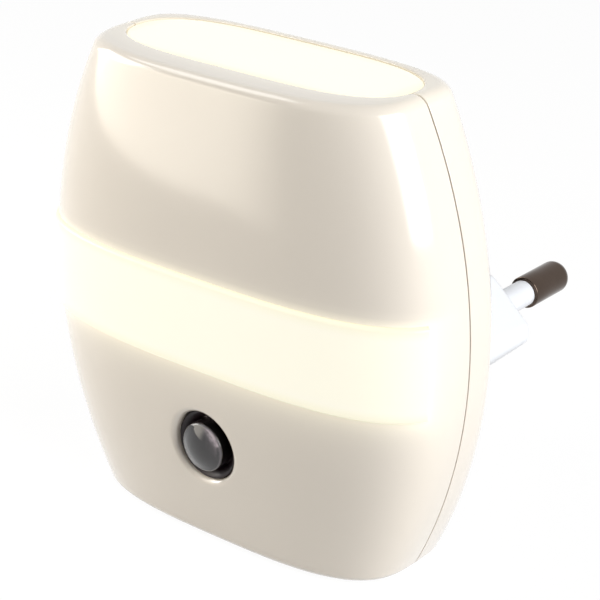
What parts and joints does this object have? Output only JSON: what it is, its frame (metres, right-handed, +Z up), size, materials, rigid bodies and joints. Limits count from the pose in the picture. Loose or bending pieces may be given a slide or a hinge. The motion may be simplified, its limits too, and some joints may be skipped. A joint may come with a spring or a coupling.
{
  "type": "plug in night light",
  "caption": "Plug-in night light: bow-sided housing with a glowing window in its top, a glowing band round its front, a twilight sensor and a flat round-pin mains plug behind",
  "frame": {"origin": "middle of the plug's end face, midway between the pins", "axes": "+Y out of the plug along the pins, into the wall; +X to the right seen from the front; +Z up"},
  "size_m": [0.0612, 0.0653, 0.0606],
  "materials": {
    "cream_shell": "smooth gloss moulding",
    "lit_diffuser": "translucent, lit from behind",
    "sensor_black": "gloss black moulding",
    "clear_lens": "clear polished dome",
    "photocell": "resin coated disc",
    "white_reflector": "matt white moulding",
    "board": "solder mask",
    "led_resin": "clear resin",
    "film_box": "moulded box",
    "capacitor_can": "can in a printed sleeve, left plain",
    "resistor_tan": "lacquered body",
    "resistor_blue": "lacquered body",
    "semiconductor": "moulded epoxy",
    "zener_glass": "glass bead",
    "plug_white": "satin to gloss moulding",
    "nickel_pin": "nickel plated and polished",
    "live_insulation": "soft insulation",
    "neutral_insulation": "soft insulation",
    "zinc_steel": "zinc plated"
  },
  "bodies": {
    "root": {"front_shell": "cream_shell", "back_shell": "cream_shell", "front_band": "lit_diffuser", "top_window": "lit_diffuser", "sensor_ring": "sensor_black", "sensor_lens": "clear_lens", "photocell": "photocell", "reflector": "white_reflector", "circuit_board": "board", "leds": "led_resin", "film_capacitor": "film_box", "smoothing_capacitor": "capacitor_can", "bleed_resistor": "resistor_tan", "fuse_resistor": "resistor_blue", "rectifier_diodes": "semiconductor", "zener_diode": "zener_glass", "switch_transistor": "semiconductor", "plug_block": "plug_white", "right_pin": "nickel_pin", "left_pin": "nickel_pin", "right_sleeve": "plug_white", "left_sleeve": "plug_white", "live_wire": "live_insulation", "neutral_wire": "neutral_insulation", "case_screws": "zinc_steel", "board_screws": "zinc_steel"}
  },
  "joints": []
}
